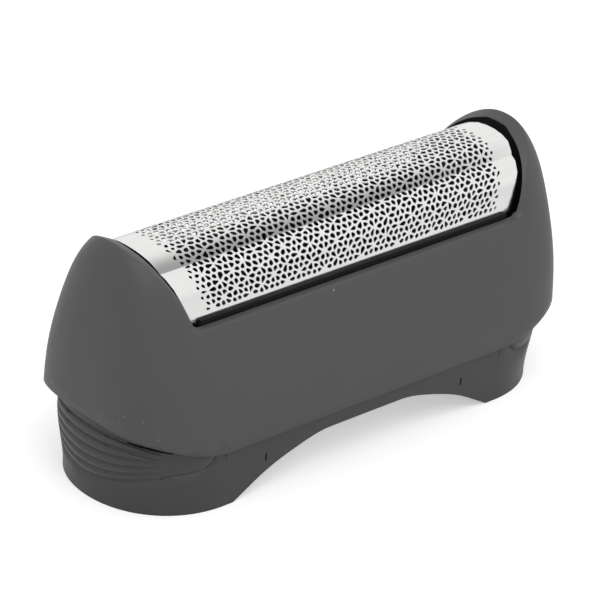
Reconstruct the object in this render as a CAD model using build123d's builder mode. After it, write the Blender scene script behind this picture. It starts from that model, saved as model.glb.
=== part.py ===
"""Foil head of a dry shaver: a loaf-shaped frame with a saddle window, a ribbed collar under it,
and a perforated steel foil bent over a black inner carrier.

X runs along the head, the front looks to -Y, Z is up, and the feet of the collar stand on Z = 0.
"""
import os
from math import cos, radians, sin, tan

from build123d import *

os.makedirs("parts", exist_ok=True)

# Outer frame, in millimetres.
frame_length = 57.0
frame_depth = 20.3
head_height = 26.9
end_turn = 9.3
frame_squareness = 0.822
crest_squareness = 0.8
frame_wall = 1.3
rim_wall = 0.9
skirt_lead = 0.9
edge_height_front = 6.3
edge_rise_at_ends = 2.9
edge_turn = 10.5
edge_ease_low = 0.45
edge_ease_high = 0.75
edge_overrun = 0.5
end_inset_sill = 0.55
end_inset_crest = 3.0
window_drop = 7.65
window_end_inset = 7.4
window_lean = radians(24)
window_corner = 1.0
crest_bevel = 0.9
crest_lean = radians(27.3)
rim_land = 0.1
rim_overlap = 0.02
rim_round = 0.3

# Collar.
collar_end_setback = 0.35
collar_side_setback = 0.62
collar_end_turn = 9.95
collar_squareness = 0.715
collar_wall = 1.4
collar_end_draft = 0.35
collar_bulge = 0.15
collar_tuck = 0.25
bulge_squareness = 0.735
collar_waist = 4.8
arch_height = 4.43
foot_length = 11.15
arch_corner_run = 4.3
arch_corner_drop = 2.09
arch_shoulder_run = 8.35
arch_shoulder_drop = 0.71
arch_slope_run = 12.5
arch_foot_slope = 0.55
spigot_top = 12.5
spigot_wall = 1.2
fit_clearance = 0.15
neck_bump_length = 6.0
neck_bump_height = 0.8
neck_bump_reach = 0.5
neck_bump_level = 2.0

# Finger grips round the ends of the collar.
grip_grooves = 6
groove_width = 0.42
groove_depth = 0.28
groove_fade = 0.15
groove_low_end = 1.95
groove_pitch_end = 1.22
groove_turn_inset = 0.95
groove_low_turn = 3.48
groove_pitch_turn = 0.9
groove_middle_inset = 3.35
groove_low_middle = 4.29
groove_pitch_middle = 0.59
groove_tip_inset = 5.65
groove_low_tip = 4.72
groove_pitch_tip = 0.42
line_width = 0.25
line_depth = 0.14
line_run_inset = 6.95
line_run_height = 4.88
line_end_inset = 8.75
relief_outer_inset = 1.7
relief_inner_inset = 4.6
relief_outer_rise = 2.26
relief_inner_rise = 1.22
relief_width = 0.42
relief_depth = 0.9
slit_inset = 15.1
slit_height = 3.8
slit_length = 0.9
slit_width = 0.2
slit_depth = 0.4

# Snap between the collar's spigot and the frame.
catch_at = 9.0
catch_length = 5.0
catch_height = 1.0
catch_level = 9.9
catch_reach = 0.4
catch_overlap = 0.2
stop_at = 15.0
stop_width = 1.2
stop_height = 3.0

# Foil and what holds it.
foil_thickness = 0.12
foil_end_gap = 0.7
foil_tuck = 2.65
foil_bend_rise = 0.4
crease_inset = 2.5
crease_rise = 5.08
crease_slope = radians(38)
panel_slope_at_crease = radians(26)
arch_slope_at_crease = radians(54)
foil_rise = 6.5
strip_thickness = 0.4
strip_gap = 0.15
strip_height = 2.8
strip_above_sill = 0.5
strip_end_setback = 0.3
rail_thickness = 1.0
cheek_thickness = 1.8
flange_thickness = 1.0
flange_overlap = 0.9
pin_count = 3
pin_spacing = 14.0
pin_diameter = 1.0
pin_drop = 1.45
pin_clearance = 0.1

# Perforation of the foil.
hole_columns = 17
hole_pitch = 2.15
hole_across = 1.76
panel_row_pitch = 2.35
panel_row_low = 0.9
top_row_pitch = 2.55

# Sizes that follow from the ones above.
half_length = frame_length / 2
half_depth = frame_depth / 2
frame_straight = half_length - end_turn
edge_straight = half_length - edge_turn
window_sill = head_height - window_drop
window_half_length = half_length - window_end_inset
waist_share = 0.936
sill_share = 0.773
sill_half_depth = half_depth * sill_share
lip_half_depth = sill_half_depth - rim_wall
foil_half_depth = lip_half_depth - strip_gap - strip_thickness
foil_half_length = window_half_length - foil_end_gap
foil_low_edge = window_sill - foil_tuck
pin_level = window_sill - pin_drop
foil_inner_depth = foil_half_depth - foil_thickness
rail_inner_depth = foil_inner_depth - rail_thickness
cheek_inner_length = foil_half_length - cheek_thickness
collar_half_length = half_length - collar_end_setback
collar_half_depth = half_depth - collar_side_setback
collar_straight = collar_half_length - collar_end_turn
arch_reach = collar_half_length - foot_length
arch_corner = arch_reach - arch_corner_run
arch_shoulder = arch_reach - arch_shoulder_run
arch_flat = arch_reach - arch_slope_run
slit_at = collar_half_length - slit_inset
collar_depth = 2 * collar_half_depth
inner_waist_depth = half_depth * waist_share - frame_wall
spigot_half_depth = inner_waist_depth - 2 * fit_clearance
spigot_half_length = collar_half_length - collar_wall - fit_clearance
flange_half_depth = spigot_half_depth - spigot_wall + flange_overlap
flange_half_length = spigot_half_length - spigot_wall + flange_overlap
flange_top = spigot_top + flange_thickness
neck_bump_at = collar_half_length - collar_end_draft - collar_wall
ledge_inner = spigot_half_depth + catch_reach - catch_overlap
ledge_depth = inner_waist_depth + frame_wall / 2 - ledge_inner
ledge_middle = ledge_inner + ledge_depth / 2
low_z = edge_height_front - 2 * frame_wall
skirt_z = (edge_height_front + edge_rise_at_ends + low_z) / 2 + frame_wall
inset_run = end_inset_crest - end_inset_sill
reach = frame_length
tall = 2 * head_height

# Levels of the frame: height, end inset, half depth as a share, squareness, wall, drop of the inside.
levels = (
    (low_z, 0.0, 1.015, frame_squareness, frame_wall, 0.0),
    (low_z + skirt_lead, 0.0, 1.008, frame_squareness, frame_wall, 0.0),
    (skirt_z, 0.0, 0.982, frame_squareness, frame_wall, 0.0),
    (spigot_top, 0.0, waist_share, frame_squareness, frame_wall, 0.0),
    (spigot_top + 0.56 * (window_sill - spigot_top), 0.4 * end_inset_sill, 0.858, frame_squareness,
     (frame_wall + rim_wall) / 2, 0.0),
    (window_sill, end_inset_sill, sill_share, frame_squareness, rim_wall, 0.0),
    (window_sill + 0.516 * window_drop, end_inset_sill + 0.22 * inset_run, 0.627,
     (frame_squareness + crest_squareness) / 2, rim_wall, 0.3 * rim_wall),
    (window_sill + 0.869 * window_drop, end_inset_sill + 0.6 * inset_run, 0.44, crest_squareness,
     0.8 * rim_wall, 0.8 * rim_wall),
    (head_height, end_inset_crest, 0.06, crest_squareness, 0.3 * rim_wall, rim_wall),
)

# Levels of the collar: height, growth of its ends, squareness.
collar_levels = (
    (0.0, -collar_end_draft, collar_squareness),
    (0.5 * collar_waist, -collar_end_draft / 5, collar_squareness),
    (collar_waist, collar_bulge, bulge_squareness),
    (2 * collar_waist, -collar_tuck, bulge_squareness),
)

# The foil from its side to its middle: distance in, rise above the sill, slope of the sheet.
panel_points = (
    (0.0, foil_bend_rise, radians(86)),
    (0.44, 2.52, radians(75)),
    (1.2, 4.25, radians(47)),
    (1.8, 4.77, radians(28)),
    (crease_inset, crease_rise, crease_slope),
)
arch_points = (
    (crease_inset, crease_rise, crease_slope),
    (3.2, 5.83, radians(36)),
    (4.62, 6.35, radians(12)),
    (foil_half_depth, foil_rise, 0.0),
)


def loaf(length, depth, straight, squareness):
    """Straight long sides joined by blunt rounded ends."""
    pull = (squareness - 0.5) / 0.375
    pull_x = straight + (length - straight) * pull
    pull_y = depth * pull
    Line((-straight, -depth), (straight, -depth))
    Bezier((straight, -depth), (pull_x, -depth), (length, -pull_y), (length, 0))
    Bezier((length, 0), (length, pull_y), (pull_x, depth), (straight, depth))
    Line((straight, depth), (-straight, depth))
    Bezier((-straight, depth), (-pull_x, depth), (-length, pull_y), (-length, 0))
    Bezier((-length, 0), (-length, -pull_y), (-pull_x, -depth), (-straight, -depth))


def flared(length, low):
    """Side view of something with upright ends that lean outward above the window sill."""
    lean = tan(window_lean) * (tall - window_sill)
    Polyline((-length, low), (length, low), (length, window_sill), (length + lean, tall),
             (-length - lean, tall), (-length, window_sill), close=True)


def lower_edge(drop):
    """Side view of all that lies under the frame's lower edge, which rises towards the ends."""
    front = edge_height_front
    high = front + edge_rise_at_ends
    end = half_length + edge_overrun
    near = edge_straight + edge_ease_low * edge_turn
    far = edge_straight + edge_ease_high * edge_turn
    Line((-edge_straight, front), (edge_straight, front))
    Bezier((edge_straight, front), (near, front), (far, high), (end, high))
    Polyline((end, high), (reach, high), (reach, -drop), (-reach, -drop), (-reach, high), (-end, high))
    Bezier((-end, high), (-far, high), (-near, front), (-edge_straight, front))


def foil_point(inward, rise, slope, inset):
    """A point of the foil's section, moved inset below its outer face."""
    return (foil_half_depth - inward - inset * sin(slope), window_sill + rise - inset * cos(slope))


def foil_outline(inset, low):
    """End view of the foil: upright edges, a bulged panel each side and a low arch between creases."""
    panel = [foil_point(inward, rise, slope, inset) for inward, rise, slope in panel_points]
    arch = [foil_point(inward, rise, slope, inset) for inward, rise, slope in arch_points]
    side = foil_half_depth - inset
    far_panel = [(-y, z) for y, z in reversed(panel)]
    far_arch = [(-y, z) for y, z in reversed(arch[:-1])]
    edge_up = (-cos(panel_points[0][2]), sin(panel_points[0][2]))
    panel_in = (-cos(panel_slope_at_crease), sin(panel_slope_at_crease))
    arch_in = (-cos(arch_slope_at_crease), sin(arch_slope_at_crease))
    Spline(*panel, tangents=(edge_up, panel_in))
    Spline(*arch, *far_arch, tangents=(arch_in, (arch_in[0], -arch_in[1])))
    Spline(*far_panel, tangents=((panel_in[0], -panel_in[1]), (edge_up[0], -edge_up[1])))
    Polyline((-panel[0][0], panel[0][1]), (-side, low), (side, low), panel[0])


def rim_arch(depth, height):
    """Half an ellipse that stands on the window's sill, with a deep base below it."""
    EllipticalCenterArc((0, 0), depth, height, start_angle=0, arc_size=180)
    Polyline((-depth, 0), (-depth, -height), (depth, -height), (depth, 0))


def groove_path(groove):
    """Line of one grip groove, from the end of the collar towards the front."""
    Spline((collar_half_length + collar_wall / 2, groove_low_end + groove * groove_pitch_end),
           (collar_half_length - groove_turn_inset, groove_low_turn + groove * groove_pitch_turn),
           (collar_half_length - groove_middle_inset, groove_low_middle + groove * groove_pitch_middle),
           (collar_half_length - groove_tip_inset, groove_low_tip + groove * groove_pitch_tip))


# Outer frame: a thin loaf, open below, with the window cut across its top.
with BuildPart() as frame_inside:
    for height, inset, share, squareness, wall, drop in levels:
        with BuildSketch(Plane.XY.offset(height - drop)):
            with BuildLine():
                loaf(half_length - inset - wall, half_depth * share - wall, frame_straight - wall, squareness)
            make_face()
    loft()

# The wedge that bevels the rim of the right horn.
with BuildPart() as bevel_cutter:
    bevel_rise = tall - window_sill
    bevel_outer = window_half_length + crest_bevel
    with BuildSketch(Plane.XZ):
        with BuildLine():
            Polyline((window_half_length, window_sill), (bevel_outer, window_sill),
                     (bevel_outer + tan(crest_lean) * bevel_rise, tall),
                     (window_half_length + tan(window_lean) * bevel_rise, tall), close=True)
        make_face()
    extrude(amount=frame_depth, both=True)
    rim_inner = Plane(origin=(window_half_length, 0, window_sill), x_dir=(0, 1, 0),
                      z_dir=(cos(window_lean), 0, -sin(window_lean)))
    rim_outer = Plane(origin=(bevel_outer, 0, window_sill), x_dir=(0, 1, 0),
                      z_dir=(cos(crest_lean), 0, -sin(crest_lean)))
    with BuildSketch(rim_inner):
        with BuildLine():
            rim_arch(lip_half_depth + rim_land, (window_drop - rim_wall + rim_land) / cos(window_lean))
        make_face()
    with BuildSketch(rim_outer):
        with BuildLine():
            rim_arch(sill_half_depth + rim_overlap, (window_drop + rim_overlap) / cos(crest_lean))
        make_face()
    loft(ruled=True, mode=Mode.SUBTRACT)

with BuildPart() as outer_frame:
    for height, inset, share, squareness, wall, drop in levels:
        with BuildSketch(Plane.XY.offset(height)):
            with BuildLine():
                loaf(half_length - inset, half_depth * share, frame_straight, squareness)
            make_face()
    loft()
    with BuildSketch(Plane.XZ):
        with BuildLine():
            flared(window_half_length, 0)
        make_face()
        with BuildLine():
            Polyline((-reach, -tall), (reach, -tall), (reach, window_sill), (-reach, window_sill), close=True)
        make_face(mode=Mode.SUBTRACT)
    extrude(amount=frame_depth, both=True, mode=Mode.SUBTRACT)
    add(bevel_cutter.part, mode=Mode.SUBTRACT)
    add(bevel_cutter.part.mirror(Plane.YZ), mode=Mode.SUBTRACT)
    # Round the corners of the window, then its outer edge all the way round.
    on_sill = outer_frame.edges().filter_by_position(Axis.Z, window_sill - rim_land, window_sill + rim_land)
    corner_start = window_half_length - rim_land
    fillet(on_sill.filter_by_position(Axis.X, corner_start, reach)
           + on_sill.filter_by_position(Axis.X, -reach, -corner_start), window_corner)
    above_sill = outer_frame.edges().filter_by_position(Axis.Z, window_sill - rim_land, head_height)
    crest_low = head_height - rim_wall / 2
    lip_outer = sill_half_depth - rim_land
    fillet(above_sill.filter_by_position(Axis.Z, crest_low, head_height)
           + above_sill.filter_by_position(Axis.Y, lip_outer, half_depth)
           + above_sill.filter_by_position(Axis.Y, -half_depth, -lip_outer), rim_round)
    with BuildSketch(Plane.XZ):
        with BuildLine():
            lower_edge(reach)
        make_face()
    extrude(amount=frame_depth, both=True, mode=Mode.SUBTRACT)
    add(frame_inside.part, mode=Mode.SUBTRACT)

    # Stops that hold the carrier's flange down, and ledges for the collar's catches.
    with BuildSketch(Plane.XY.offset(flange_top)):
        with GridLocations(2 * stop_at, lip_half_depth + inner_waist_depth, 2, 2):
            Rectangle(stop_width, inner_waist_depth - lip_half_depth)
    extrude(amount=stop_height)
    with BuildSketch(Plane.XY.offset(catch_level - catch_height / 2 - fit_clearance)):
        with GridLocations(2 * catch_at, 2 * ledge_middle, 2, 2):
            Rectangle(catch_length, ledge_depth)
    extrude(amount=-catch_height)

# Collar: a ring on two feet, with a spigot that goes up inside the frame.
with BuildPart() as grip_cutter:
    with BuildSketch(Plane.XZ):
        for groove in range(grip_grooves):
            with BuildLine() as groove_line:
                groove_path(groove)
            trace(groove_line.line, line_width=groove_width)
    extrude(amount=collar_depth, both=True)
    for height, growth, squareness in collar_levels:
        with BuildSketch(Plane.XY.offset(height)):
            with BuildLine():
                loaf(collar_half_length + growth - groove_depth, collar_half_depth + groove_fade,
                     collar_straight, squareness)
            make_face()
    loft(mode=Mode.SUBTRACT)

# The fine line that goes on from the lowest groove up to the frame's edge.
with BuildPart() as line_cutter:
    with BuildSketch(Plane.XZ):
        with BuildLine() as fine_line:
            Spline((collar_half_length - groove_middle_inset, groove_low_middle),
                   (collar_half_length - groove_tip_inset, groove_low_tip),
                   (collar_half_length - line_run_inset, line_run_height),
                   (collar_half_length - line_end_inset, edge_height_front))
        trace(fine_line.line, line_width=line_width)
    extrude(amount=collar_depth, both=True)
    for height, growth, squareness in collar_levels:
        with BuildSketch(Plane.XY.offset(height)):
            with BuildLine():
                loaf(collar_half_length + growth - line_depth, collar_half_depth - line_depth,
                     collar_straight, squareness)
            make_face()
    loft(mode=Mode.SUBTRACT)

# A sliver of daylight under the frame's edge, at each corner.
with BuildPart() as relief_cutter:
    with BuildSketch(Plane.XZ):
        with BuildLine() as relief_line:
            Line((half_length - relief_outer_inset, edge_height_front + relief_outer_rise),
                 (half_length - relief_inner_inset, edge_height_front + relief_inner_rise))
        trace(relief_line.line, line_width=relief_width)
    extrude(amount=collar_depth, both=True)
    with BuildSketch(Plane.XY):
        with BuildLine():
            loaf(collar_half_length - relief_depth, collar_half_depth - relief_depth, collar_straight,
                 collar_squareness)
        make_face()
    extrude(amount=tall, mode=Mode.SUBTRACT)

with BuildPart() as base_collar:
    for height, growth, squareness in collar_levels:
        with BuildSketch(Plane.XY.offset(height)):
            with BuildLine():
                loaf(collar_half_length + growth, collar_half_depth, collar_straight, squareness)
            make_face()
    loft()
    with BuildSketch(Plane.XZ):
        with BuildLine():
            lower_edge(reach)
        make_face()
    extrude(amount=frame_depth, both=True, mode=Mode.INTERSECT)
    add(grip_cutter.part, mode=Mode.SUBTRACT)
    add(grip_cutter.part.mirror(Plane.YZ), mode=Mode.SUBTRACT)
    add(line_cutter.part, mode=Mode.SUBTRACT)
    add(line_cutter.part.mirror(Plane.YZ), mode=Mode.SUBTRACT)
    add(relief_cutter.part, mode=Mode.SUBTRACT)
    add(relief_cutter.part.mirror(Plane.YZ), mode=Mode.SUBTRACT)
    with BuildSketch(Plane.XY):
        with BuildLine():
            loaf(collar_half_length - collar_end_draft - collar_wall, collar_half_depth - collar_wall,
                 collar_straight, collar_squareness)
        make_face()
    extrude(amount=collar_waist, mode=Mode.SUBTRACT)
    with BuildSketch(Plane.XY.offset(collar_waist)):
        with BuildLine():
            loaf(spigot_half_length, spigot_half_depth, collar_straight, collar_squareness)
        make_face()
    extrude(amount=spigot_top - collar_waist)
    with BuildSketch(Plane.XY):
        with BuildLine():
            loaf(spigot_half_length - spigot_wall, spigot_half_depth - spigot_wall, collar_straight,
                 collar_squareness)
        make_face()
    extrude(amount=tall, mode=Mode.SUBTRACT)
    # Arched long sides between the feet.
    with BuildSketch(Plane.XZ):
        with BuildLine():
            Line((-arch_flat, arch_height), (arch_flat, arch_height))
            Spline((arch_flat, arch_height), (arch_shoulder, arch_height - arch_shoulder_drop),
                   (arch_corner, arch_height - arch_corner_drop), (arch_reach, 0),
                   tangents=((1, 0), (1, -arch_foot_slope)))
            Polyline((arch_reach, 0), (arch_reach, -arch_height), (-arch_reach, -arch_height),
                     (-arch_reach, 0))
            Spline((-arch_reach, 0), (-arch_corner, arch_height - arch_corner_drop),
                   (-arch_shoulder, arch_height - arch_shoulder_drop), (-arch_flat, arch_height),
                   tangents=((1, arch_foot_slope), (1, 0)))
        make_face()
    extrude(amount=frame_depth, both=True, mode=Mode.SUBTRACT)
    # Small upright slits beside the arch.
    with BuildSketch(Plane.XZ):
        with Locations((-slit_at, slit_height), (slit_at, slit_height)):
            Rectangle(slit_width, slit_length)
    slits = extrude(amount=collar_half_depth, both=True, mode=Mode.PRIVATE)
    with BuildSketch(Plane.XY):
        Rectangle(reach, 2 * (collar_half_depth - slit_depth))
    slit_floor = extrude(amount=tall, mode=Mode.PRIVATE)
    add(slits - slit_floor, mode=Mode.SUBTRACT)
    # Catches on the spigot, and bumps inside the feet that snap on the shaver's neck.
    with BuildSketch(Plane.XY.offset(catch_level - catch_height / 2)):
        with GridLocations(2 * catch_at, 2 * spigot_half_depth, 2, 2):
            Rectangle(catch_length, 2 * catch_reach)
    extrude(amount=catch_height)
    with BuildSketch(Plane.XY.offset(neck_bump_level - neck_bump_height / 2)):
        with GridLocations(2 * neck_bump_at, 0, 2, 1):
            Rectangle(2 * neck_bump_reach, neck_bump_length)
    extrude(amount=neck_bump_height)

# Foil: a thin bent sheet, perforated between plain margins.
with BuildPart() as foil:
    with BuildSketch(Plane.YZ):
        with BuildLine():
            foil_outline(0, foil_low_edge)
        make_face()
    extrude(amount=reach, both=True)
    with BuildSketch(Plane.YZ):
        with BuildLine():
            foil_outline(foil_thickness, 0)
        make_face()
    extrude(amount=reach, both=True, mode=Mode.SUBTRACT)
    with BuildSketch(Plane.XZ):
        with BuildLine():
            flared(foil_half_length, 0)
        make_face()
    extrude(amount=frame_depth, both=True, mode=Mode.INTERSECT)
    # Holes in the low arch.
    with BuildSketch(Plane.XY.offset(window_sill + foil_rise)):
        with GridLocations(hole_pitch, 2 * top_row_pitch, hole_columns, 2):
            RegularPolygon(hole_across / 2, 6)
        with GridLocations(hole_pitch, 0, hole_columns - 1, 1):
            RegularPolygon(hole_across / 2, 6)
    extrude(amount=foil_rise - crease_rise, both=True, mode=Mode.SUBTRACT)
    # Holes in the bulged panels, front and back.
    panel_inward, panel_rise, panel_slope = panel_points[1]
    for side in (-1, 1):
        panel_plane = Plane(origin=(0, side * (foil_half_depth - panel_inward), window_sill + panel_rise),
                            x_dir=(side, 0, 0), z_dir=(0, side * sin(panel_slope), cos(panel_slope)))
        with BuildSketch(panel_plane):
            with Locations((0, panel_row_low)):
                with GridLocations(hole_pitch, 0, hole_columns, 1):
                    RegularPolygon(hole_across / 2, 6)
            with Locations((0, panel_row_low - panel_row_pitch)):
                with GridLocations(hole_pitch, 0, hole_columns - 1, 1):
                    RegularPolygon(hole_across / 2, 6)
        extrude(amount=hole_across, both=True, mode=Mode.SUBTRACT)
    with BuildSketch(Plane.XZ):
        with Locations((0, pin_level)):
            with GridLocations(pin_spacing, 0, pin_count, 1):
                Circle(pin_diameter / 2 + pin_clearance)
    extrude(amount=frame_depth, both=True, mode=Mode.SUBTRACT)

# Carrier: a flange on the spigot, two rails and two arched cheeks under the foil's ends.
with BuildPart() as foil_carrier:
    with BuildSketch(Plane.YZ):
        with BuildLine():
            foil_outline(foil_thickness, spigot_top)
        make_face()
    extrude(amount=reach, both=True)
    with BuildSketch(Plane.XZ):
        with BuildLine():
            flared(foil_half_length, 0)
        make_face()
    extrude(amount=frame_depth, both=True, mode=Mode.INTERSECT)
    with BuildSketch(Plane.XY.offset(spigot_top)):
        with BuildLine():
            loaf(flange_half_length, flange_half_depth, collar_straight, collar_squareness)
        make_face()
    extrude(amount=flange_thickness)
    with BuildSketch(Plane.XZ) as well:
        with BuildLine():
            flared(cheek_inner_length, 0)
        make_face()
    extrude(amount=rail_inner_depth, both=True, mode=Mode.SUBTRACT)
    with BuildSketch(Plane.XZ):
        add(well.sketch)
        with BuildLine():
            Polyline((-reach, 0), (reach, 0), (reach, window_sill), (-reach, window_sill), close=True)
        make_face(mode=Mode.SUBTRACT)
    extrude(amount=frame_depth, both=True, mode=Mode.SUBTRACT)
    # Pins that pass through the foil and the strips.
    with BuildSketch(Plane.XZ):
        with Locations((0, pin_level)):
            with GridLocations(pin_spacing, 0, pin_count, 1):
                Circle(pin_diameter / 2)
    pins = extrude(amount=foil_half_depth + strip_thickness, both=True, mode=Mode.PRIVATE)
    with BuildSketch(Plane.XY):
        Rectangle(reach, 2 * rail_inner_depth)
    gangway = extrude(amount=tall, mode=Mode.PRIVATE)
    add(pins - gangway)

# Strips that clamp the foil's long edges to the rails.
with BuildPart() as front_foil_strip:
    with BuildSketch(Plane.XZ.offset(foil_half_depth)):
        with Locations((0, window_sill + strip_above_sill - strip_height / 2)):
            Rectangle(2 * (foil_half_length - strip_end_setback), strip_height)
        with Locations((0, pin_level)):
            with GridLocations(pin_spacing, 0, pin_count, 1):
                Circle(pin_diameter / 2 + pin_clearance / 2, mode=Mode.SUBTRACT)
    extrude(amount=strip_thickness)

with BuildPart() as rear_foil_strip:
    add(front_foil_strip.part.mirror(Plane.XZ))

pieces = (("outer_frame", outer_frame), ("base_collar", base_collar), ("foil", foil),
          ("foil_carrier", foil_carrier), ("front_foil_strip", front_foil_strip),
          ("rear_foil_strip", rear_foil_strip))
for name, piece in pieces:
    piece.part.label = name
    export_step(piece.part, f"parts/{name}.step")
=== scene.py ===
import math
import random

import bmesh
import bpy
from mathutils import Matrix, Vector
from mathutils.geometry import tessellate_polygon


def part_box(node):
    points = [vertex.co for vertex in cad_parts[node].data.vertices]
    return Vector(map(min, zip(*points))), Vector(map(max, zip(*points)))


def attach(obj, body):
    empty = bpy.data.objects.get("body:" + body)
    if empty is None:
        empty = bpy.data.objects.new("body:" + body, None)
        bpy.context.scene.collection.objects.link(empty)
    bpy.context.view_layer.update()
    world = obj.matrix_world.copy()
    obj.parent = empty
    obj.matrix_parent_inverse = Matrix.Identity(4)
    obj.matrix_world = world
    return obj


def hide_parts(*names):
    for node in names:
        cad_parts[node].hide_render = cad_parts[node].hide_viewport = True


bl_info = {
    "name": "Shaver foil head",
    "version": (1, 0, 0),
    "blender": (4, 5, 0),
    "location": "3D View > Sidebar > Foil head",
    "description": "Finishes and perforated foil for a push-fit shaver foil head",
    "category": "Object",
}

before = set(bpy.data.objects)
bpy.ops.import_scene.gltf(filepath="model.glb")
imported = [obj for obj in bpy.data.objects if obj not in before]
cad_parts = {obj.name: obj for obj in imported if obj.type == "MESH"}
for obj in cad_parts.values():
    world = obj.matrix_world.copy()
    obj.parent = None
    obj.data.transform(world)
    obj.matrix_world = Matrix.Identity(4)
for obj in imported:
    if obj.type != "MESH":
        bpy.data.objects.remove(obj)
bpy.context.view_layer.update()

MM = 0.001


# Properties that a user would change.
class FinishSettings(bpy.types.PropertyGroup):
    """Colours and grain of the mouldings and the steel."""

    frame_colour: bpy.props.FloatVectorProperty(
        name="Frame colour", description="Matte grey of the outer frame", subtype="COLOR",
        size=4, min=0, max=1, default=(0.068, 0.068, 0.068, 1))
    collar_colour: bpy.props.FloatVectorProperty(
        name="Collar colour", description="Darker grey of the collar", subtype="COLOR",
        size=4, min=0, max=1, default=(0.044, 0.044, 0.044, 1))
    carrier_colour: bpy.props.FloatVectorProperty(
        name="Carrier colour", description="Black of the carrier and the strips", subtype="COLOR",
        size=4, min=0, max=1, default=(0.012, 0.012, 0.012, 1))
    steel_colour: bpy.props.FloatVectorProperty(
        name="Steel colour", description="Pale grey of the foil", subtype="COLOR",
        size=4, min=0, max=1, default=(0.82, 0.82, 0.81, 1))
    grain_size: bpy.props.FloatProperty(
        name="Grain size", description="Width of one grain of the matte moulded surface",
        unit="LENGTH", default=0.16 * MM)
    scuff_size: bpy.props.FloatProperty(
        name="Scuff spacing", description="Distance between the specks of the scuffed patch",
        unit="LENGTH", default=0.9 * MM)
    speck_size: bpy.props.FloatProperty(
        name="Speck size", description="Width of the field that holds one pale speck",
        unit="LENGTH", default=3.4 * MM)


class FoilSettings(bpy.types.PropertyGroup):
    """Sizes of the perforated sheet."""

    hole_pitch: bpy.props.FloatProperty(
        name="Hole pitch", description="Distance between holes along a row",
        unit="LENGTH", default=0.66 * MM)
    row_pitch: bpy.props.FloatProperty(
        name="Row pitch", description="Distance between rows of holes",
        unit="LENGTH", default=0.572 * MM)
    web_width: bpy.props.FloatProperty(
        name="Web width", description="Width of the steel between two holes",
        unit="LENGTH", default=0.2 * MM)
    wander: bpy.props.FloatProperty(
        name="Wander", description="How far a hole strays from its row, as a share of the pitch",
        subtype="FACTOR", min=0, max=0.5, default=0.15)
    end_margin: bpy.props.FloatProperty(
        name="End margin", description="Plain steel at each end of the sheet",
        unit="LENGTH", default=2.3 * MM)
    edge_margin: bpy.props.FloatProperty(
        name="Edge margin", description="Plain steel above the strip along each long edge",
        unit="LENGTH", default=0.3 * MM)
    thickness: bpy.props.FloatProperty(
        name="Thickness", description="Thickness of the sheet", unit="LENGTH", default=0.1 * MM)
    seed: bpy.props.IntProperty(
        name="Seed", description="Start of the hole pattern", min=0, default=7)


class StageSettings(bpy.types.PropertyGroup):
    """Camera, floor and light."""

    azimuth: bpy.props.FloatProperty(
        name="Azimuth", description="Turn of the camera to the left of the front",
        subtype="ANGLE", default=math.radians(43.28))
    elevation: bpy.props.FloatProperty(
        name="Elevation", description="Height of the camera above the floor, as an angle",
        subtype="ANGLE", default=math.radians(27.95))
    roll: bpy.props.FloatProperty(
        name="Roll", description="Turn of the camera about its own line of sight",
        subtype="ANGLE", default=math.radians(4.26))
    distance: bpy.props.FloatProperty(
        name="Distance", description="Distance from the camera to its aim",
        unit="LENGTH", default=374.35 * MM)
    aim: bpy.props.FloatVectorProperty(
        name="Aim", description="Point in the middle of the picture",
        subtype="XYZ", unit="LENGTH", default=(-1.12 * MM, 0, 13.23 * MM))
    lens: bpy.props.FloatProperty(
        name="Lens", description="Focal length in millimetres on a 36 mm sensor", default=225.8)
    floor_colour: bpy.props.FloatVectorProperty(
        name="Floor colour", description="Pale colour of the floor", subtype="COLOR",
        size=4, min=0, max=1, default=(0.9, 0.9, 0.9, 1))
    room_light: bpy.props.FloatProperty(
        name="Room light", description="Strength of the even light from all round", default=0.62)
    key_light: bpy.props.FloatProperty(
        name="Key light", description="Power of the large soft lamp, in watts",
        subtype="POWER", default=1.3)


# Shaders.
def node(tree, kind, inputs=None, **options):
    """Add a node with its options, and set or link its inputs."""
    made = tree.nodes.new(kind)
    for name, value in options.items():
        setattr(made, name, value)
    for name, value in (inputs or {}).items():
        if isinstance(value, bpy.types.NodeSocket):
            tree.links.new(value, made.inputs[name])
        else:
            made.inputs[name].default_value = value
    return made


def math_node(tree, operation, *values):
    """One sum, as a socket."""
    return node(tree, "ShaderNodeMath", dict(enumerate(values)), operation=operation).outputs[0]


def ramp(tree, value, low, high):
    """Map low..high smoothly to 0..1 and hold it there."""
    made = node(tree, "ShaderNodeMapRange", {"Value": value, "From Min": low, "From Max": high},
                interpolation_type="SMOOTHSTEP")
    return made.outputs["Result"]


def blend_colour(tree, share, first, second):
    """Mix two colours."""
    # Sockets 0, 6 and 7 are the Mix node's share and its two colours, and output 2 is the mixed colour.
    return node(tree, "ShaderNodeMix", {0: share, 6: first, 7: second}, data_type="RGBA").outputs[2]


def scaled_colour(tree, colour, share):
    """A colour from a socket, at a share of its brightness."""
    return node(tree, "ShaderNodeVectorMath", {0: colour, "Scale": share}, operation="SCALE").outputs[0]


def darker(colour, share):
    """A set colour, at a share of its brightness."""
    return tuple(share * part for part in colour[:3]) + (1,)


def object_place(tree):
    """Coordinates on the object itself."""
    return node(tree, "ShaderNodeTexCoord").outputs["Object"]


def object_axes(tree):
    """The three coordinates on the object, each by itself."""
    return node(tree, "ShaderNodeSeparateXYZ", {"Vector": object_place(tree)}).outputs


def new_group(name, inputs, outputs):
    """An empty node group with named sockets."""
    group = bpy.data.node_groups.new(name, "ShaderNodeTree")
    for label, kind, value in inputs:
        socket = group.interface.new_socket(label, in_out="INPUT", socket_type=kind)
        socket.default_value = value
    for label, kind in outputs:
        group.interface.new_socket(label, in_out="OUTPUT", socket_type=kind)
    return group, group.nodes.new("NodeGroupInput"), group.nodes.new("NodeGroupOutput")


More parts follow.
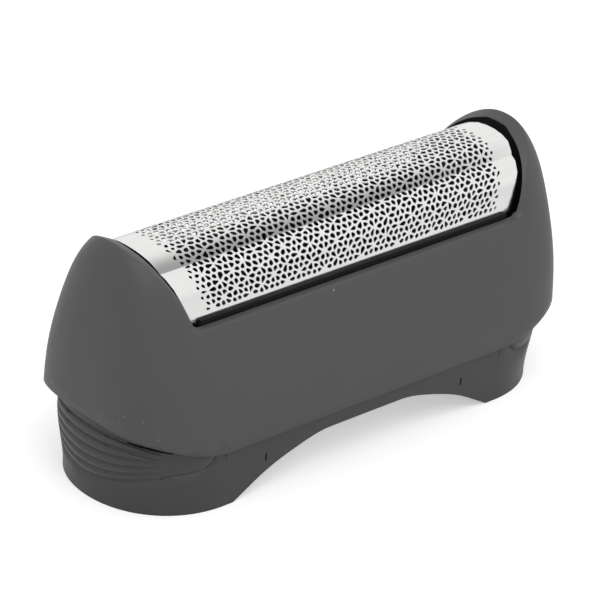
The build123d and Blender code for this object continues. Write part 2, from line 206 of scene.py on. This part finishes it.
def moulded_grain_group():
    """Matte grain of a moulding: a mottled colour, a roughness and a height."""
    group, given, result = new_group(
        "moulded_grain",
        (("Colour", "NodeSocketColor", (0.05, 0.05, 0.05, 1)),
         ("Grain Scale", "NodeSocketFloat", 6000.0),
         ("Mottle Scale", "NodeSocketFloat", 220.0),
         ("Mottle", "NodeSocketFloat", 0.08),
         ("Roughness", "NodeSocketFloat", 0.5)),
        (("Colour", "NodeSocketColor"), ("Roughness", "NodeSocketFloat"), ("Height", "NodeSocketFloat")))
    grain_share = 0.5
    middle = 0.75
    roughness_swing = 0.25
    place = object_place(group)
    grain = node(group, "ShaderNodeTexNoise",
                 {"Vector": place, "Scale": given.outputs["Grain Scale"], "Detail": 2.0}).outputs["Fac"]
    mottle = node(group, "ShaderNodeTexNoise",
                  {"Vector": place, "Scale": given.outputs["Mottle Scale"], "Detail": 4.0}).outputs["Fac"]
    both = math_node(group, "ADD", math_node(group, "MULTIPLY", grain, grain_share), mottle)
    swing = math_node(group, "SUBTRACT", both, middle)
    gain = math_node(group, "MULTIPLY_ADD", swing, given.outputs["Mottle"], 1.0)
    tone = scaled_colour(group, given.outputs["Colour"], gain)
    rough = math_node(group, "MULTIPLY_ADD", swing, roughness_swing, given.outputs["Roughness"])
    group.links.new(tone, result.inputs["Colour"])
    group.links.new(rough, result.inputs["Roughness"])
    group.links.new(grain, result.inputs["Height"])
    return group


def dust_speck_group():
    """A few pale specks on a dark moulding."""
    group, given, result = new_group(
        "dust_specks",
        (("Colour", "NodeSocketColor", (0.05, 0.05, 0.05, 1)),
         ("Speck Colour", "NodeSocketColor", (0.3, 0.3, 0.3, 1)),
         ("Field Scale", "NodeSocketFloat", 300.0),
         ("Speck Radius", "NodeSocketFloat", 0.04)),
        (("Colour", "NodeSocketColor"),))
    rarity = 0.6
    field = node(group, "ShaderNodeTexVoronoi",
                 {"Vector": object_place(group), "Scale": given.outputs["Field Scale"]})
    chance = node(group, "ShaderNodeSeparateColor", {"Color": field.outputs["Color"]}).outputs["Red"]
    reach = math_node(group, "MULTIPLY", chance, given.outputs["Speck Radius"])
    inside = math_node(group, "LESS_THAN", field.outputs["Distance"], reach)
    chosen = math_node(group, "GREATER_THAN", chance, rarity)
    mask = math_node(group, "MULTIPLY", inside, chosen)
    speckled = blend_colour(group, mask, given.outputs["Colour"], given.outputs["Speck Colour"])
    group.links.new(speckled, result.inputs["Colour"])
    return group


def use_group(tree, group, inputs):
    """Place a node group in a material."""
    return node(tree, "ShaderNodeGroup", inputs, node_tree=group)


def shared_group(name, maker):
    """The node group of that name, made once."""
    return bpy.data.node_groups.get(name) or maker()


def new_material(name):
    """A material with a bare Principled shader."""
    material = bpy.data.materials.new(name)
    material.use_nodes = True
    tree = material.node_tree
    return material, tree, tree.nodes["Principled BSDF"]


def moulded_plastic(name, colour, finish, roughness, bump, sheen, marks=None):
    """Matte moulded plastic with fine grain and faint mottle, and with marks where asked."""
    grain_height = 0.02 * MM
    sheen_roughness = 0.35
    gloss = 0.5 if sheen else 0.15
    material, tree, shader = new_material(name)
    grain = use_group(tree, shared_group("moulded_grain", moulded_grain_group),
                      {"Colour": colour, "Grain Scale": 1 / finish.grain_size, "Roughness": roughness})
    tone = grain.outputs["Colour"]
    if marks:
        tone = marks(tree, tone, finish)
    height = node(tree, "ShaderNodeBump", {"Height": grain.outputs["Height"], "Strength": bump,
                                           "Distance": grain_height})
    shader.inputs["Sheen Weight"].default_value = sheen
    shader.inputs["Sheen Roughness"].default_value = sheen_roughness
    shader.inputs["Specular IOR Level"].default_value = gloss
    tree.links.new(tone, shader.inputs["Base Color"])
    tree.links.new(grain.outputs["Roughness"], shader.inputs["Roughness"])
    tree.links.new(height.outputs["Normal"], shader.inputs["Normal"])
    return material


def marks_of_use(tree, tone, finish):
    """Sparse pale specks, with a scuffed patch low on the left end."""
    scuff_radius = 0.13
    patch_end = (-25 * MM, -28 * MM)
    patch_top = (13 * MM, 10.5 * MM)
    dust = shared_group("dust_specks", dust_speck_group)
    tone = use_group(tree, dust, {"Colour": tone, "Field Scale": 1 / finish.speck_size}).outputs["Colour"]
    scuffed = use_group(tree, dust, {"Colour": tone, "Field Scale": 1 / finish.scuff_size,
                                     "Speck Radius": scuff_radius}).outputs["Colour"]
    x, y, z = object_axes(tree)
    patch = math_node(tree, "MULTIPLY", ramp(tree, x, *patch_end), ramp(tree, z, *patch_top))
    return blend_colour(tree, patch, tone, scuffed)


def mould_seam(tree, tone, finish):
    """A fine dark seam down each end, a little to one side of the middle."""
    seam_offset = 0.7 * MM
    seam_edge = (0.06 * MM, 0.03 * MM)
    seam_reach = (27 * MM, 27.6 * MM)
    seam_tone = 0.5
    x, y, z = object_axes(tree)
    across = math_node(tree, "MULTIPLY", y, math_node(tree, "SIGN", x))
    off = math_node(tree, "ABSOLUTE", math_node(tree, "ADD", across, seam_offset))
    seam = math_node(tree, "MULTIPLY", ramp(tree, off, *seam_edge),
                     ramp(tree, math_node(tree, "ABSOLUTE", x), *seam_reach))
    return blend_colour(tree, seam, tone, scaled_colour(tree, tone, seam_tone))


def rolled_steel(colour, crease):
    """Thin bright steel with faint lines from rolling, and a band of painted shade above the crease at each
    side.
    """
    line_scale = (150, 4200, 4200)
    line_contrast = (0.3, 0.7)
    line_tone = 0.97
    line_height = 0.004 * MM
    # Painted shade: a band just above each crease darkens the steel's colour. It is full at the left end and
    # fades out towards the right end.
    crease_shade_rise = (crease - 2.2 * MM, crease - 0.1 * MM)
    crease_shade_drop = (crease + 0.12 * MM, crease)
    crease_shade_fade = (28 * MM, 6 * MM)
    crease_shade_curve = 1.6
    crease_shade_tone = 0.4
    material, tree, shader = new_material("rolled_steel")
    drawn = node(tree, "ShaderNodeMapping", {"Vector": object_place(tree), "Scale": line_scale}).outputs[0]
    lines = node(tree, "ShaderNodeTexNoise", {"Vector": drawn, "Scale": 1.0, "Detail": 3.0}).outputs["Fac"]
    tone = blend_colour(tree, ramp(tree, lines, *line_contrast), darker(colour, line_tone), colour)
    x, y, z = object_axes(tree)
    side = math_node(tree, "ABSOLUTE", y)
    painted_crease_shade = math_node(tree, "POWER", ramp(tree, side, *crease_shade_rise), crease_shade_curve)
    painted_crease_shade = math_node(tree, "MULTIPLY", painted_crease_shade, ramp(tree, side, *crease_shade_drop))
    painted_crease_shade = math_node(tree, "MULTIPLY", painted_crease_shade, ramp(tree, x, *crease_shade_fade))
    # Mix the painted shade into the steel's colour.
    tone = blend_colour(tree, painted_crease_shade, tone, darker(colour, crease_shade_tone))
    rough = node(tree, "ShaderNodeMapRange", {"Value": lines, "To Min": 0.15, "To Max": 0.19})
    height = node(tree, "ShaderNodeBump", {"Height": lines, "Strength": 0.05, "Distance": line_height})
    shader.inputs["Metallic"].default_value = 1.0
    tree.links.new(tone, shader.inputs["Base Color"])
    tree.links.new(rough.outputs["Result"], shader.inputs["Roughness"])
    tree.links.new(height.outputs["Normal"], shader.inputs["Normal"])
    return material


# The foil.
class FoilForm:
    """Developed form of the bent sheet: x along it, s across it from the front edge over the top."""

    # Points of the section: in from the side and down from the top, in millimetres.
    panel_points = ((0.0, 6.1), (0.44, 3.98), (1.2, 2.25), (1.8, 1.73), (2.5, 1.42))
    arch_points = ((2.5, 1.42), (3.2, 0.67), (4.62, 0.15))
    edge_slope = math.radians(86)
    panel_slope_at_crease = math.radians(26)
    arch_slope_at_crease = math.radians(54)
    end_lean = math.radians(24)
    strip_above_sill = 0.5 * MM
    strip_setback = 0.7 * MM
    end_gap = 0.3 * MM

    def __init__(self):
        low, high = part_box("foil")
        strip_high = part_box("front_foil_strip")[1]
        self.low = low.z
        self.top = high.z
        self.strip_top = strip_high.z
        self.sill = strip_high.z - self.strip_above_sill
        self.side = -strip_high.y
        self.half_length = strip_high.x + self.strip_setback
        panel = [self.section(inset, drop) for inset, drop in self.panel_points]
        arch = [self.section(inset, drop) for inset, drop in self.arch_points]
        arch += [Vector((0, self.top))] + [Vector((-point.x, point.y)) for point in reversed(arch)]
        panel = spline_through(panel, heading(self.edge_slope), heading(self.panel_slope_at_crease))
        arch = spline_through(arch, heading(self.arch_slope_at_crease), heading(-self.arch_slope_at_crease))
        self.line = [Vector((self.side, self.low))] + panel[:-1] + arch
        self.line += [Vector((-point.x, point.y)) for point in reversed(self.line[:len(panel)])]
        self.line = [Vector((-point.x, point.y)) for point in self.line]
        self.reach = [0.0]
        for a, b in zip(self.line, self.line[1:]):
            self.reach.append(self.reach[-1] + (b - a).length)
        self.width = self.reach[-1]
        self.crease = self.reach[len(panel)]

    def window_end(self, z):
        """Half length of the window at a height."""
        return self.half_length + self.end_gap + math.tan(self.end_lean) * (z - self.sill)

    def section(self, inset, drop):
        """A point of the section, in from the side and down from the top, in millimetres."""
        return Vector((self.side - inset * MM, self.top - drop * MM))

    def locate(self, s):
        """Point and outward normal of the section at s."""
        low = 0
        high = len(self.reach) - 1
        while high - low > 1:
            middle = (low + high) // 2
            if self.reach[middle] <= s:
                low = middle
            else:
                high = middle
        a, b = self.line[low], self.line[high]
        share = (s - self.reach[low]) / (self.reach[high] - self.reach[low])
        along = (b - a).normalized()
        return a.lerp(b, share), Vector((-along.y, along.x))

    def place(self, u, s, depth):
        """Point of the sheet, depth below its outer face; its ends lean out above the sill."""
        point, normal = self.locate(s)
        stretch = 1 + math.tan(self.end_lean) * max(0.0, point.y - self.sill) / self.half_length
        return (u * stretch, point.x - normal.x * depth, point.y - normal.y * depth)

    def at_height(self, z):
        """Distance s from the front edge to a height on the front panel."""
        for (a, b), start in zip(zip(self.line, self.line[1:]), self.reach):
            if a.y <= z <= b.y:
                return start + (b - a).length * (z - a.y) / (b.y - a.y)
        raise ValueError("the foil doesn't reach that height")


def heading(slope):
    """Direction of a line that climbs towards the middle of the sheet at a slope."""
    return Vector((-math.cos(slope), math.sin(slope)))


def spline_through(points, start, end, steps=16, sweeps=60):
    """Points on the smooth curve through the given ones, with set directions at both ends."""
    spans = [(b - a).length for a, b in zip(points, points[1:])]
    turns = [start] + [(c - a).normalized() for a, c in zip(points, points[2:])] + [end]
    for sweep in range(sweeps):
        for i in range(1, len(points) - 1):
            h, k = spans[i - 1], spans[i]
            pull = 3 * ((points[i] - points[i - 1]) / h ** 2 + (points[i + 1] - points[i]) / k ** 2)
            turns[i] = (pull - turns[i - 1] / h - turns[i + 1] / k) / (2 / h + 2 / k)
    curve = []
    for i, span in enumerate(spans):
        for step in range(steps):
            t = step / steps
            rest = 1 - t
            curve.append(points[i] * (1 + 2 * t) * rest ** 2 + turns[i] * span * t * rest ** 2
                         + points[i + 1] * (3 - 2 * t) * t ** 2 - turns[i + 1] * span * rest * t ** 2)
    return curve + [points[-1]]


def clip(polygon, normal, limit):
    """The part of a polygon where point.normal stays within limit."""
    kept = []
    for a, b in zip(polygon, polygon[1:] + polygon[:1]):
        over_a = a.dot(normal) - limit
        over_b = b.dot(normal) - limit
        if over_a <= 0:
            kept.append(a)
        if over_a * over_b < 0:
            kept.append(a.lerp(b, over_a / (over_a - over_b)))
    return kept


def rounded(polygon, share):
    """A polygon with each corner cut back along its two sides."""
    cut = []
    for index, corner in enumerate(polygon):
        cut.append(corner.lerp(polygon[index - 1], share))
        cut.append(corner.lerp(polygon[(index + 1) % len(polygon)], share))
    return cut


def signed_area(polygon):
    """Area of a polygon, above zero when it runs anticlockwise."""
    return sum(a.cross(b) for a, b in zip(polygon, polygon[1:] + polygon[:1])) / 2


class FoilPattern:
    """Seed points of the cells of the sheet: flowers of six cells about a point where their webs meet."""

    tile_columns = 5
    tile_rows = 4
    flower = 7
    flower_shift = 5
    fade_columns = 2.0
    fade_growth = 0.7
    corner_cut = 0.25
    pin_spacing = 14.0 * MM
    pin_drop = 1.45 * MM
    pin_hole = 0.6 * MM
    pin_sides = 12
    # Distances about a pin, in radii of its hole.
    pin_ring = 2
    pin_margin = 2.4
    # Distances about a cell, in pitches, and the least area of a hole, in square pitches.
    end_clearance = 0.3
    cell_reach = 2
    neighbour_reach = 3.2
    smallest_hole = 0.02
    most_neighbours = 30

    def __init__(self, form, settings):
        self.form = form
        self.settings = settings
        self.field_end = form.half_length - settings.end_margin
        self.field_low = form.at_height(form.strip_top) + settings.edge_margin
        chance = random.Random(settings.seed)
        wander = settings.wander * settings.hole_pitch
        self.tile = {(column, row): Vector((chance.uniform(-wander, wander),
                                            chance.uniform(-wander, wander)))
                     for column in range(self.tile_columns) for row in range(self.tile_rows)}
        self.points = []
        self.webs = []
        pin_level = form.sill - self.pin_drop - form.low
        self.pins = [Vector((column * self.pin_spacing, s)) for column in (-1, 0, 1)
                     for s in (pin_level, form.width - pin_level)]
        self.add_grid()
        self.add_pins()

    def add_grid(self):
        """Rows of cells: pierced ones wander, and every seventh gives way to its six neighbours."""
        pitch, step = self.settings.hole_pitch, self.settings.row_pitch
        rows = int(self.form.width / step)
        columns = int(self.form.half_length / pitch) + 1
        start = (self.form.width - (rows - 1) * step) / 2
        for row in range(rows):
            for column in range(-columns, columns + 1):
                place = Vector((pitch * (column + 0.5 * (row % 2)), start + row * step))
                pierced = self.pierced(place)
                if pierced and (column - row // 2 + self.flower_shift * row) % self.flower == 0:
                    continue
                if pierced:
                    place += self.tile[column % self.tile_columns, row % self.tile_rows]
                clear = all((place - pin).length > self.pin_margin * self.pin_hole for pin in self.pins)
                if abs(place.x) < self.form.half_length - self.end_clearance * pitch and clear:
                    self.points.append(place)
                    self.webs.append(self.web(place) if pierced else None)

    def add_pins(self):
        """A round cell for each pin hole, made by a ring of points about it."""
        radius = self.pin_ring * self.pin_hole
        for pin in self.pins:
            self.points.append(pin)
            self.webs.append(0.0)
            for side in range(self.pin_sides):
                turn = math.tau * side / self.pin_sides
                self.points.append(pin + radius * Vector((math.cos(turn), math.sin(turn))))
                self.webs.append(None)

    def pierced(self, place):
        """Whether a cell lies in the perforated field."""
        across = self.field_low < place.y < self.form.width - self.field_low
        return across and abs(place.x) < self.field_end

    def web(self, place):
        """Width of the web round a hole: holes shrink towards the ends of the field."""
        left = (self.field_end - abs(place.x)) / (self.fade_columns * self.settings.hole_pitch)
        return self.settings.web_width * (1 + self.fade_growth * max(0.0, 1 - left))

    def cells(self):
        """Outline and hole of every cell."""
        pitch = self.settings.hole_pitch
        near = self.neighbour_reach * pitch
        smallest = self.smallest_hole * pitch ** 2
        shelf = {}
        for point in self.points:
            shelf.setdefault((int(point.x // near), int(point.y // near)), []).append(point)
        for point, web in zip(self.points, self.webs):
            home = (int(point.x // near), int(point.y // near))
            others = [other for i in (-1, 0, 1) for j in (-1, 0, 1)
                      for other in shelf.get((home[0] + i, home[1] + j), ()) if other is not point]
            others.sort(key=lambda other: (other - point).length_squared)
            outline = self.sheet_corners(point, self.cell_reach * pitch)
            hole = list(outline)
            for other in others[:self.most_neighbours]:
                normal = (other - point).normalized()
                limit = normal.dot((other + point) / 2)
                outline = clip(outline, normal, limit)
                if web is not None and hole:
                    hole = clip(hole, normal, limit - web / 2)
            if web and (len(hole) < 3 or signed_area(hole) < smallest):
                web = None
            if web is None:
                yield outline, None
            else:
                yield outline, rounded(rounded(hole, self.corner_cut), self.corner_cut)

    def sheet_corners(self, point, half):
        """A square round a point, kept within the sheet."""
        left = max(point.x - half, -self.form.half_length)
        right = min(point.x + half, self.form.half_length)
        front = max(point.y - half, 0.0)
        back = min(point.y + half, self.form.width)
        return [Vector((left, front)), Vector((right, front)), Vector((right, back)), Vector((left, back))]


class SheetMesh:
    """Collects the flat faces of the sheet, then bends and thickens them."""

    weld = 0.0005 * MM
    sharp_angle = math.radians(25)

    def __init__(self):
        self.places = []
        self.index = {}
        self.faces = []

    def vertex(self, point):
        """Number of the vertex at a point."""
        key = (round(point.x / self.weld), round(point.y / self.weld))
        if key not in self.index:
            self.index[key] = len(self.places)
            self.places.append(point)
        return self.index[key]

    def add_cell(self, outline, hole):
        """A cell, with or without its hole."""
        loops = [outline, hole] if hole else [outline]
        flat = [point for loop in loops for point in loop]
        flats = [[point.to_3d() for point in loop] for loop in loops]
        for triple in tessellate_polygon(flats):
            corners = [flat[number] for number in triple]
            if signed_area(corners) < 0:
                corners.reverse()
            self.add_face(corners)

    def fold(self, level):
        """Split every triangle that crosses a line across the sheet, so that it can bend there."""
        faces = self.faces
        self.faces = []
        for face in faces:
            corners = [self.places[number] for number in face]
            heights = [corner.y for corner in corners]
            if min(heights) < level - self.weld and max(heights) > level + self.weld:
                below = clip(corners, Vector((0, 1)), level)
                above = clip(corners, Vector((0, -1)), -level)
                for part in (below, above):
                    for second, third in zip(part[1:], part[2:]):
                        self.add_face((part[0], second, third))
            else:
                self.faces.append(face)

    def add_face(self, corners):
        """A triangle between three points."""
        face = tuple(self.vertex(corner) for corner in corners)
        if len(set(face)) == 3:
            self.faces.append(face)

    def build(self, name, form, thickness):
        """The bent sheet with its thickness, as an object."""
        count = len(self.places)
        points = [form.place(p.x, p.y, 0.0) for p in self.places]
        points += [form.place(p.x, p.y, thickness) for p in self.places]
        edges = {}
        for face in self.faces:
            for a, b in zip(face, face[1:] + face[:1]):
                edges[a, b] = True
        walls = [(b, a, a + count, b + count) for a, b in edges if (b, a) not in edges]
        under = [tuple(number + count for number in reversed(face)) for face in self.faces]
        mesh = bpy.data.meshes.new(name)
        mesh.from_pydata(points, [], self.faces + under + walls)
        mesh.validate()
        mesh.shade_smooth()
        mesh.set_sharp_from_angle(angle=self.sharp_angle)
        piece = bpy.data.objects.new(name, mesh)
        bpy.context.scene.collection.objects.link(piece)
        return piece


# Pieces.
def dress(name, material):
    """Give a node of the frame a material."""
    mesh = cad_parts[name].data
    mesh.materials.clear()
    mesh.materials.append(material)


def solid_through(name, rings):
    """A closed mesh through rings of as many points each."""
    shape = bmesh.new()
    rings = [[shape.verts.new(point) for point in ring] for ring in rings]
    shape.faces.new(rings[0])
    shape.faces.new(rings[-1])
    for lower, upper in zip(rings, rings[1:]):
        for i in range(len(lower)):
            shape.faces.new((lower[i - 1], lower[i], upper[i], upper[i - 1]))
    bmesh.ops.recalc_face_normals(shape, faces=shape.faces)
    mesh = bpy.data.meshes.new(name)
    shape.to_mesh(mesh)
    shape.free()
    return mesh


def copy_of(name, copy_name):
    """A new piece with the mesh of a node."""
    piece = bpy.data.objects.new(copy_name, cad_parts[name].data.copy())
    bpy.context.scene.collection.objects.link(piece)
    return piece


def put_in_place(piece, name, material):
    """Let a piece stand for a node, in its material."""
    piece.data.materials.clear()
    piece.data.materials.append(material)
    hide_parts(name)
    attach(piece, "root")


def cut_away(piece, cutter_mesh):
    """Take the form of a mesh out of a piece, and drop the mesh."""
    cutter = bpy.data.objects.new(cutter_mesh.name, cutter_mesh)
    bpy.context.scene.collection.objects.link(cutter)
    carve = piece.modifiers.new("carve", "BOOLEAN")
    carve.operation = "DIFFERENCE"
    carve.solver = "EXACT"
    carve.object = cutter
    bpy.context.view_layer.update()
    whole = bpy.data.meshes.new_from_object(piece.evaluated_get(bpy.context.evaluated_depsgraph_get()))
    piece.modifiers.clear()
    piece.data = whole
    bpy.data.objects.remove(cutter)
    bpy.data.meshes.remove(cutter_mesh)


# The stage.
def light_room(scene, stage):
    """Even white surroundings."""
    world = bpy.data.worlds.new("room")
    world.use_nodes = True
    tree = world.node_tree
    shader = tree.nodes["Background"]
    shader.inputs["Color"].default_value = (1, 1, 1, 1)
    path = node(tree, "ShaderNodeLightPath")
    seen = math_node(tree, "MAXIMUM", path.outputs["Is Camera Ray"], path.outputs["Is Glossy Ray"])
    seen = math_node(tree, "MAXIMUM", seen, path.outputs["Is Transmission Ray"])
    strength = node(tree, "ShaderNodeMapRange", {"Value": seen, "To Min": stage.room_light, "To Max": 1.0})
    tree.links.new(strength.outputs["Result"], shader.inputs["Strength"])
    scene.world = world


def lay_floor(stage):
    """A wide pale floor that reads as white and keeps a faint shadow."""
    half = 3.0
    cloud_tone = 0.99
    seen_glow = 0.45
    mirrored_glow = 0.15
    corners = [(-half, -half, 0), (half, -half, 0), (half, half, 0), (-half, half, 0)]
    mesh = bpy.data.meshes.new("floor")
    mesh.from_pydata(corners, [], [(0, 1, 2, 3)])
    floor = bpy.data.objects.new("floor", mesh)
    bpy.context.scene.collection.objects.link(floor)
    material, tree, shader = new_material("pale_floor")
    cloud = node(tree, "ShaderNodeTexNoise", {"Vector": object_place(tree), "Scale": 40.0}).outputs["Fac"]
    colour = tuple(stage.floor_colour)
    tone = blend_colour(tree, cloud, colour, darker(colour, cloud_tone))
    tree.links.new(tone, shader.inputs["Base Color"])
    shader.inputs["Roughness"].default_value = 0.9
    path = node(tree, "ShaderNodeLightPath")
    seen = math_node(tree, "MULTIPLY", path.outputs["Is Camera Ray"], seen_glow)
    mirrored = math_node(tree, "MULTIPLY", path.outputs["Is Glossy Ray"], mirrored_glow)
    tree.links.new(math_node(tree, "ADD", seen, mirrored), shader.inputs["Emission Strength"])
    shader.inputs["Emission Color"].default_value = (1, 1, 1, 1)
    mesh.materials.append(material)


def hang_lamp(name, place, size, power):
    """A square soft lamp that faces the object."""
    lamp = bpy.data.lights.new(name, "AREA")
    lamp.size = size
    lamp.energy = power
    holder = bpy.data.objects.new(name, lamp)
    holder.location = place
    holder.rotation_euler = (-place).to_track_quat("-Z", "Y").to_euler()
    bpy.context.scene.collection.objects.link(holder)


def set_camera(scene, stage):
    """A long lens at the picture's angle, with its slight roll."""
    back = Vector((-math.sin(stage.azimuth) * math.cos(stage.elevation),
                   -math.cos(stage.azimuth) * math.cos(stage.elevation), math.sin(stage.elevation)))
    level = Vector((math.cos(stage.azimuth), -math.sin(stage.azimuth), 0))
    upright = back.cross(level)
    right = level * math.cos(stage.roll) + upright * math.sin(stage.roll)
    up = upright * math.cos(stage.roll) - level * math.sin(stage.roll)
    lens = bpy.data.cameras.new("camera")
    lens.lens = stage.lens
    lens.sensor_width = 36.0
    lens.clip_start = 0.01
    camera = bpy.data.objects.new("camera", lens)
    turn = Matrix((right, up, back)).transposed().to_4x4()
    camera.matrix_world = Matrix.Translation(Vector(stage.aim) + back * stage.distance) @ turn
    scene.collection.objects.link(camera)
    scene.camera = camera


# Operators, one for each group of pieces.
class FOILHEAD_OT_frame(bpy.types.Operator):
    """Even the frame's rim at both horns and give it its matte grey finish"""

    bl_idname = "foilhead.frame"
    bl_label = "Finish the outer frame"

    # Rings of the rim's opening: depth past the window's end, half width, rise above the sill.
    rim_rings = ((-0.05 * MM, 7.02 * MM, 6.98 * MM),
                 (0.8 * MM, 6.98 * MM, 6.9 * MM),
                 (2.0 * MM, 6.6 * MM, 5.9 * MM))
    rim_steps = 96
    crest_half_width = 3.4 * MM
    crest_depth = 0.36 * MM
    crest_span = (5.4 * MM, 8.2 * MM)
    clearance = 0.5 * MM

    def execute(self, context):
        finish = context.scene.foilhead_finish
        form = FoilForm()
        piece = copy_of("outer_frame", "moulded_frame")
        for side in (-1, 1):
            cut_away(piece, self.rim_opening(form, side))
            cut_away(piece, self.crest_relief(form, side))
        grey = moulded_plastic("frame_plastic", finish.frame_colour, finish,
                               roughness=0.5, bump=0.35, sheen=0.12, marks=marks_of_use)
        put_in_place(piece, "outer_frame", grey)
        return {"FINISHED"}

    def rim_opening(self, form, side):
        """A short arched tunnel that leans with the end of the window and narrows inwards."""
        rings = []
        for depth, half_width, rise in self.rim_rings:
            ring = []
            for step in range(self.rim_steps + 1):
                turn = math.pi * step / self.rim_steps
                y, z = half_width * math.cos(turn), form.sill + rise * math.sin(turn)
                ring.append((side * (form.window_end(z) + depth), y, z))
            rings.append(ring)
        return solid_through("rim_opening", rings)

    def crest_relief(self, form, side):
        """A shallow hollow that evens the edge of the rim at its crest."""
        rings = []
        for rise in self.crest_span:
            z = form.sill + rise
            end = form.window_end(z)
            back = side * (end - self.clearance)
            ring = [(back, self.crest_half_width, z), (back, -self.crest_half_width, z)]
            for step in range(self.rim_steps + 1):
                share = 2 * step / self.rim_steps - 1
                depth = self.crest_depth * (1 - share ** 2)
                ring.append((side * (end + depth), share * self.crest_half_width, z))
            rings.append(ring)
        return solid_through("crest_relief", rings)


class FOILHEAD_OT_collar(bpy.types.Operator):
    """Cut the collar's catch slits and give it its darker grey finish"""

    bl_idname = "foilhead.collar"
    bl_label = "Finish the collar"

    # Three stations along a slit: the place, the way it faces and its height there.
    slit_places = ((27.05 * MM, 5.05 * MM, 7.92 * MM),
                   (25.77 * MM, 7.0 * MM, 7.7 * MM),
                   (23.9 * MM, 8.42 * MM, 7.22 * MM))
    slit_turns = (math.radians(35), math.radians(47), math.radians(60))
    slit_heights = (0.14 * MM, 0.34 * MM, 0.12 * MM)
    slit_depth = 0.5 * MM

    def execute(self, context):
        finish = context.scene.foilhead_finish
        piece = copy_of("base_collar", "moulded_collar")
        for end in (-1, 1):
            for side in (-1, 1):
                cut_away(piece, self.catch_slit(end, side))
        dark = moulded_plastic("collar_plastic", finish.collar_colour, finish,
                               roughness=0.46, bump=0.3, sheen=0.12, marks=mould_seam)
        put_in_place(piece, "base_collar", dark)
        return {"FINISHED"}

    def catch_slit(self, end, side):
        """The dark slit of a catch, just under the edge of the frame."""
        rings = []
        for (x, y, z), turn, height in zip(self.slit_places, self.slit_turns, self.slit_heights):
            ring = []
            for out, rise in ((1, -0.5), (1, 0.5), (-1, 0.5), (-1, -0.5)):
                reach = out * self.slit_depth
                ring.append((end * (x + reach * math.cos(turn)),
                             side * (y + reach * math.sin(turn)),
                             z + rise * height))
            rings.append(ring)
        return solid_through("catch_slit", rings)


class FOILHEAD_OT_carrier(bpy.types.Operator):
    """Give the carrier and the strips their black finish"""

    bl_idname = "foilhead.carrier"
    bl_label = "Finish the carrier and strips"

    def execute(self, context):
        finish = context.scene.foilhead_finish
        black = moulded_plastic("carrier_plastic", finish.carrier_colour, finish,
                                roughness=0.6, bump=0.2, sheen=0.0)
        for name in ("foil_carrier", "front_foil_strip", "rear_foil_strip"):
            dress(name, black)
        return {"FINISHED"}


class FOILHEAD_OT_foil(bpy.types.Operator):
    """Build the finely perforated steel foil"""

    bl_idname = "foilhead.foil"
    bl_label = "Build the foil"

    def execute(self, context):
        settings = context.scene.foilhead_foil
        form = FoilForm()
        pattern = FoilPattern(form, settings)
        sheet = SheetMesh()
        for outline, hole in pattern.cells():
            sheet.add_cell(outline, hole)
        for level in (form.crease, form.width - form.crease):
            sheet.fold(level)
        piece = sheet.build("perforated_foil", form, settings.thickness)
        steel = tuple(context.scene.foilhead_finish.steel_colour)
        piece.data.materials.append(rolled_steel(steel, abs(form.locate(form.crease)[0].x)))
        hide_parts("foil")
        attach(piece, "root")
        return {"FINISHED"}


class FOILHEAD_OT_stage(bpy.types.Operator):
    """Set up the floor, the light and the camera"""

    bl_idname = "foilhead.stage"
    bl_label = "Set the stage"

    lamp_place = (-0.12, -0.3, 0.62)
    lamp_size = 0.5

    def execute(self, context):
        stage = context.scene.foilhead_stage
        context.scene.view_settings.view_transform = "Standard"
        light_room(context.scene, stage)
        lay_floor(stage)
        hang_lamp("key_lamp", Vector(self.lamp_place), self.lamp_size, stage.key_light)
        set_camera(context.scene, stage)
        return {"FINISHED"}


class FOILHEAD_PT_panel(bpy.types.Panel):
    """Sidebar panel of the foil head"""

    bl_idname = "FOILHEAD_PT_panel"
    bl_label = "Foil head"
    bl_space_type = "VIEW_3D"
    bl_region_type = "UI"
    bl_category = "Foil head"

    def draw(self, context):
        for operator in OPERATORS:
            self.layout.operator(operator.bl_idname)
        scene = context.scene
        for group in (scene.foilhead_finish, scene.foilhead_foil, scene.foilhead_stage):
            box = self.layout.box()
            for name in group.__annotations__:
                box.prop(group, name)


SETTINGS = (FinishSettings, FoilSettings, StageSettings)
OPERATORS = (FOILHEAD_OT_frame, FOILHEAD_OT_collar, FOILHEAD_OT_carrier, FOILHEAD_OT_foil, FOILHEAD_OT_stage)


def register():
    """Add the settings, operators and panel."""
    for kind in SETTINGS + OPERATORS + (FOILHEAD_PT_panel,):
        bpy.utils.register_class(kind)
    bpy.types.Scene.foilhead_finish = bpy.props.PointerProperty(type=FinishSettings)
    bpy.types.Scene.foilhead_foil = bpy.props.PointerProperty(type=FoilSettings)
    bpy.types.Scene.foilhead_stage = bpy.props.PointerProperty(type=StageSettings)


def unregister():
    """Take the settings, operators and panel away."""
    del bpy.types.Scene.foilhead_stage
    del bpy.types.Scene.foilhead_foil
    del bpy.types.Scene.foilhead_finish
    for kind in reversed(SETTINGS + OPERATORS + (FOILHEAD_PT_panel,)):
        bpy.utils.unregister_class(kind)


def main():
    """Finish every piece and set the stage."""
    register()
    bpy.ops.foilhead.frame()
    bpy.ops.foilhead.collar()
    bpy.ops.foilhead.carrier()
    bpy.ops.foilhead.foil()
    bpy.ops.foilhead.stage()


if __name__ == "__main__":
    main()
